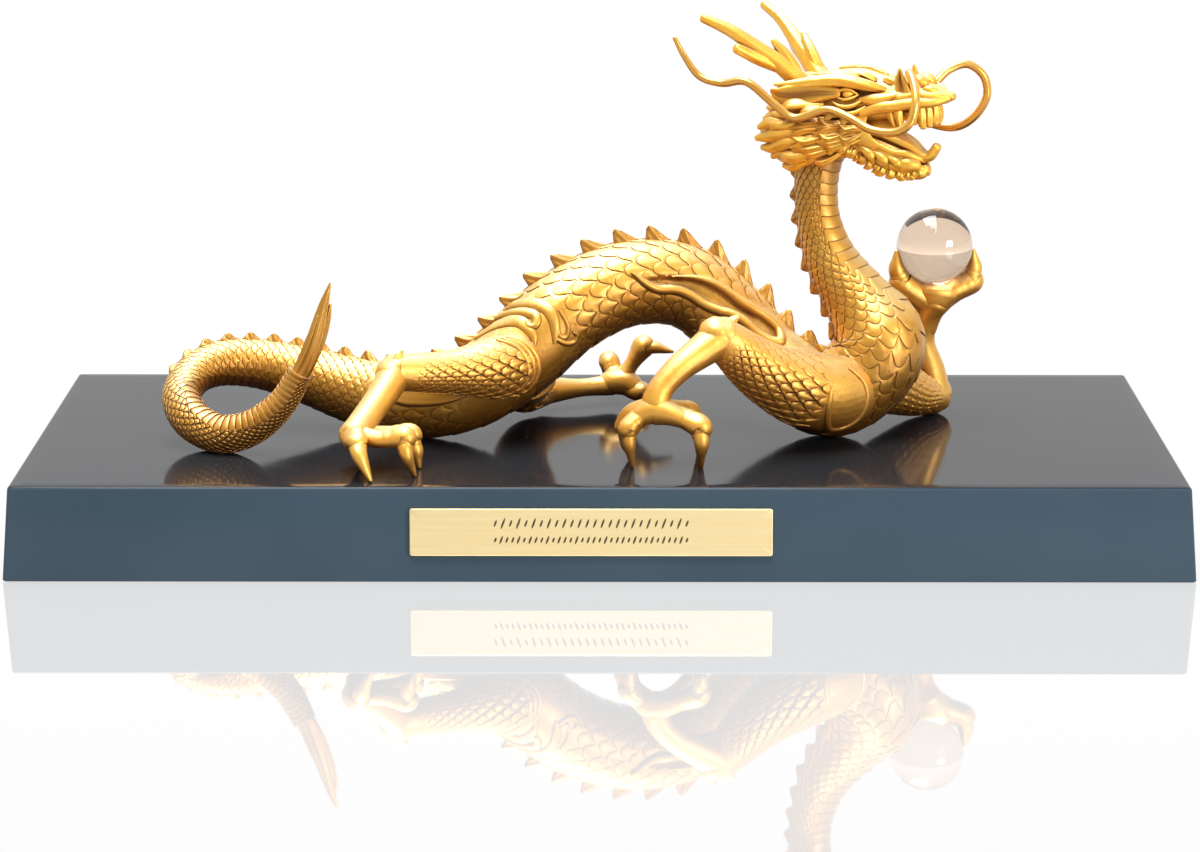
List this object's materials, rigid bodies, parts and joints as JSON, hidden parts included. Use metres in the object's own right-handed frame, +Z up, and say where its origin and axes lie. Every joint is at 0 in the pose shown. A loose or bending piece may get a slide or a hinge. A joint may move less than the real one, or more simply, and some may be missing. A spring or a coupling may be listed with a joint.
{
  "type": "dragon sculpture",
  "caption": "Gilt cast dragon that crouches on a black lacquered plinth, with scales, horns and wire whiskers, and holds up a crystal ball.",
  "frame": {"origin": "middle of the plinth's underside", "axes": "+X along the plinth's length, the way the dragon looks; +Z up; -Y towards the front with the name plate"},
  "size_m": [0.3, 0.1506, 0.1357],
  "materials": {
    "gilt": "satin gold plate on a casting",
    "lacquer": "polished black lacquer",
    "plate": "satin",
    "crystal": "clear, polished"
  },
  "bodies": {
    "root": {"plinth": "lacquer", "name_plate": "plate", "dragon": "gilt", "near_whisker": "gilt", "far_whisker": "gilt", "crystal_ball": "crystal"}
  },
  "joints": []
}
